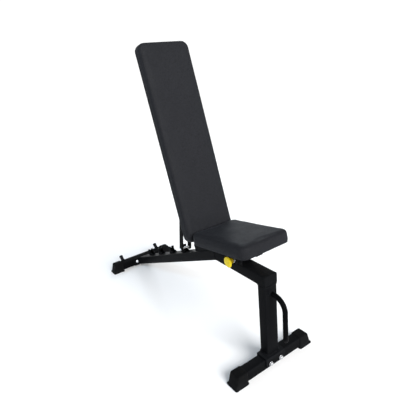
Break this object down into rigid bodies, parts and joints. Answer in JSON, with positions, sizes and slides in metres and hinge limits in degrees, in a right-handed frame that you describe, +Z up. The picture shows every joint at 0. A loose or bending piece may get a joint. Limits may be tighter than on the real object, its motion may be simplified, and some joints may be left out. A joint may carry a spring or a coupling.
{
  "type": "adjustable weight bench",
  "caption": "Adjustable weight bench: a padded back that reclines on a toothed ladder, a tilting seat with a pull pin, and a welded tube frame on rubber boots.",
  "frame": {"origin": "on the floor, under the middle of the bench's own box", "axes": "+X towards the seat's front end, +Y to the sitter's left, +Z up"},
  "size_m": [1.4566, 0.46, 1.3923],
  "materials": {
    "black_paint": "semi-gloss black powder coat",
    "black_leather": "black grained artificial leather, satin",
    "black_rubber": "matt black rubber",
    "black_plastic": "moulded black plastic, satin",
    "zinc": "bright zinc plate",
    "yellow_plastic": "bright yellow moulded plastic, glossy",
    "plywood": "bare plywood",
    "bronze": "sintered bronze, dull"
  },
  "bodies": {
    "frame": {"front_foot_tube": "black_paint", "rear_foot_tube": "black_paint", "front_boot_left": "black_rubber", "front_boot_right": "black_rubber", "rear_boot_left": "black_rubber", "rear_boot_right": "black_rubber", "saddle_bolt_left": "zinc", "saddle_bolt_right": "zinc", "saddle_nut_left": "zinc", "saddle_nut_right": "zinc", "flange_bolt_left": "zinc", "flange_bolt_right": "zinc", "flange_nut_left": "zinc", "flange_nut_right": "zinc", "post_saddle": "black_paint", "front_post": "black_paint", "lift_handle": "black_paint", "lift_handle_plug": "black_plastic", "main_beam": "black_paint", "beam_end_cap": "black_paint", "rear_rail": "black_paint", "rail_flange": "black_paint", "band_peg_left": "black_paint", "band_peg_right": "black_paint", "band_peg_left_cap": "black_plastic", "band_peg_right_cap": "black_plastic", "ladder_stop_1": "black_paint", "ladder_stop_2": "black_paint", "ladder_stop_3": "black_paint", "ladder_stop_4": "black_paint", "ladder_stop_5": "black_paint", "pivot_bracket_left": "black_paint", "pivot_bracket_right": "black_paint", "back_pivot_bolt": "zinc", "back_pivot_nut": "zinc", "seat_pivot_bolt": "zinc", "seat_pivot_nut": "zinc", "index_plate": "black_paint"},
    "back": {"back_tube": "black_paint", "back_tube_plug": "black_plastic", "back_pivot_bush": "bronze", "back_spreader_lower": "black_paint", "back_spreader_upper": "black_paint", "back_board": "plywood", "back_pad": "black_leather"},
    "strut": {"strut_fork": "black_paint", "strut_foot_pin": "zinc", "strut_pivot_bolt": "zinc", "strut_pivot_nut": "zinc"},
    "seat": {"seat_tube": "black_paint", "seat_pivot_bush": "bronze", "seat_spreader_rear": "black_paint", "seat_spreader_front": "black_paint", "seat_yoke": "black_paint", "seat_board": "plywood", "seat_pad": "black_leather", "pop_pin_barrel": "zinc", "pop_pin_spring": "zinc"},
    "pop_pin": {"pop_pin_plunger": "zinc", "pop_pin_knob": "yellow_plastic"}
  },
  "joints": [
    {"name": "back_recline", "type": "hinge", "parent": "frame", "child": "back", "pos_m": [0.17795, 0, 0.4937], "axis": [0, -1, 0], "range_deg": [0, 74.1]},
    {"name": "strut_swing", "type": "hinge", "parent": "back", "child": "strut", "pos_m": [0.06182, 0, 0.79185], "axis": [0, -1, 0], "range_deg": [-111, 0]},
    {"name": "seat_tilt", "type": "hinge", "parent": "frame", "child": "seat", "pos_m": [0.29805, 0, 0.4925], "axis": [0, -1, 0], "range_deg": [-8.7, 4.34]},
    {"name": "pop_pin_pull", "type": "slide", "parent": "seat", "child": "pop_pin", "axis": [0, -1, 0], "range_m": [0, 0.01], "stiffness_N_per_m": 500, "springref_m": -0.008, "deforming": ["pop_pin_spring"]}
  ],
  "couplings": [
    {"joint": "strut_swing", "follows": "back_recline", "ratio": -1.4842}
  ]
}
